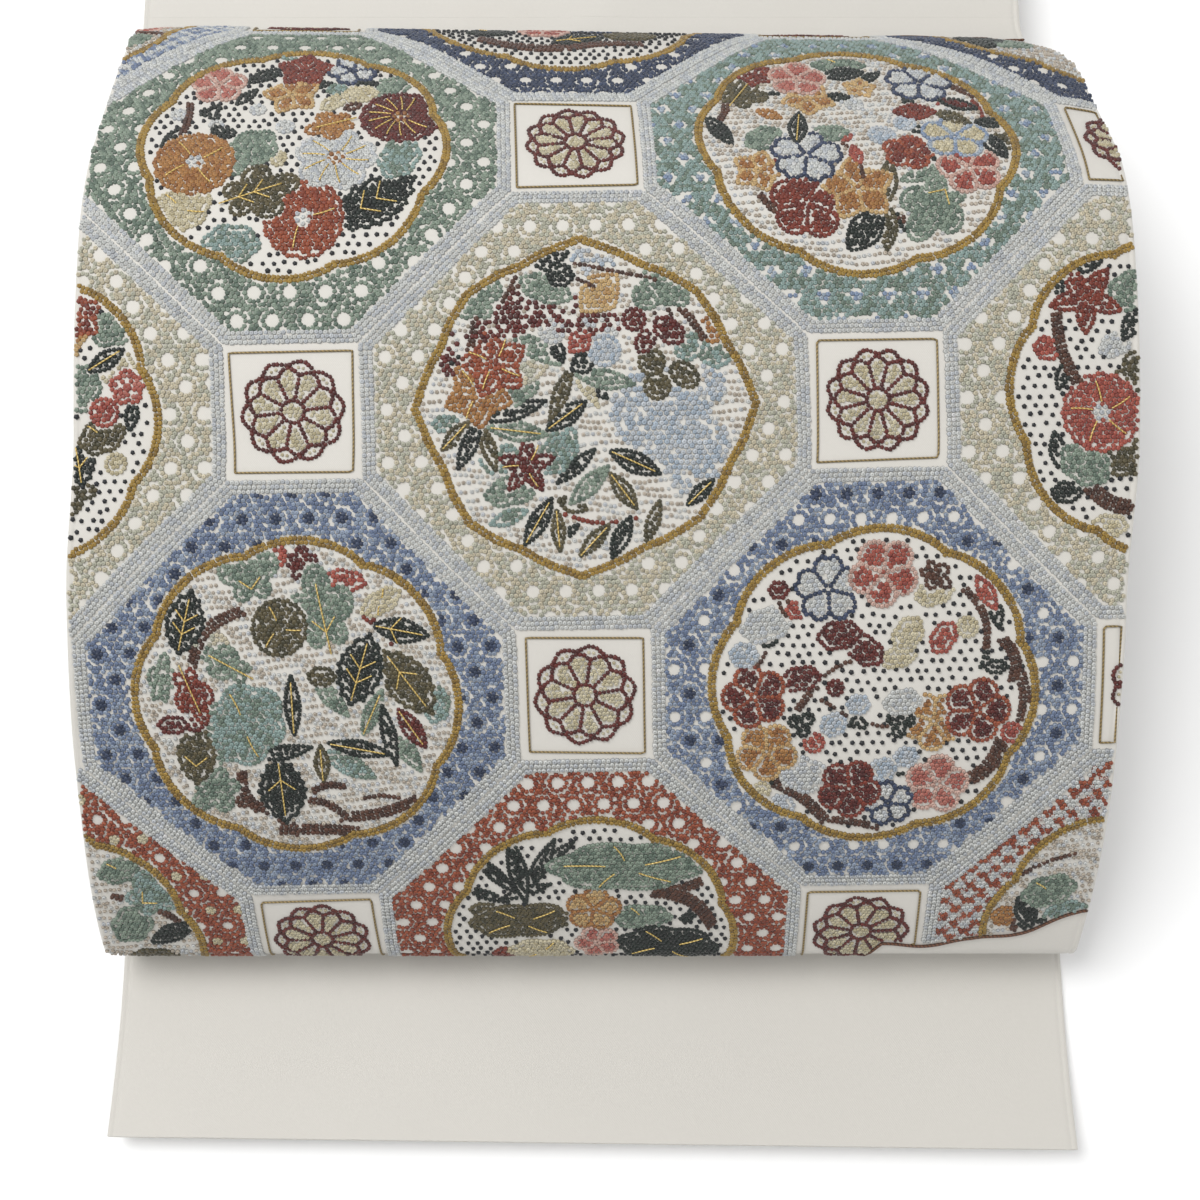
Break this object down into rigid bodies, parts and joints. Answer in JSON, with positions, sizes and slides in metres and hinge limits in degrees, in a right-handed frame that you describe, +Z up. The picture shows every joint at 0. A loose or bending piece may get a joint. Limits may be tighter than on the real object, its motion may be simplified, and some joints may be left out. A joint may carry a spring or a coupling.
{
  "type": "obi sash arranged in a drum fold",
  "caption": "Wide embroidered sash of double cloth, laid flat with its end arranged as an open drum-shaped loop over a plain tail and the rest folded behind.",
  "frame": {"origin": "on the table, under the middle of the arranged sash", "axes": "+X across the band, to the right seen from its tail end; +Y from the tail end towards the folded pile; +Z up from the table"},
  "size_m": [0.32, 0.7376, 0.1],
  "materials": {
    "face_cloth": "ivory silk twill with a soft sheen",
    "backing_cloth": "plain ivory silk, a little duller",
    "folded_cloth": "ivory silk twill folded in layers"
  },
  "bodies": {
    "root": {"tail_cloth": "face_cloth", "tail_backing": "backing_cloth", "under_run_cloth": "face_cloth", "under_run_backing": "backing_cloth", "turn_under_cloth": "face_cloth", "turn_under_backing": "backing_cloth", "drum_front_cloth": "face_cloth", "drum_front_backing": "backing_cloth", "drum_rear_cloth": "face_cloth", "drum_rear_backing": "backing_cloth", "band_run_cloth": "face_cloth", "band_run_backing": "backing_cloth", "folded_layers": "folded_cloth"}
  },
  "joints": []
}
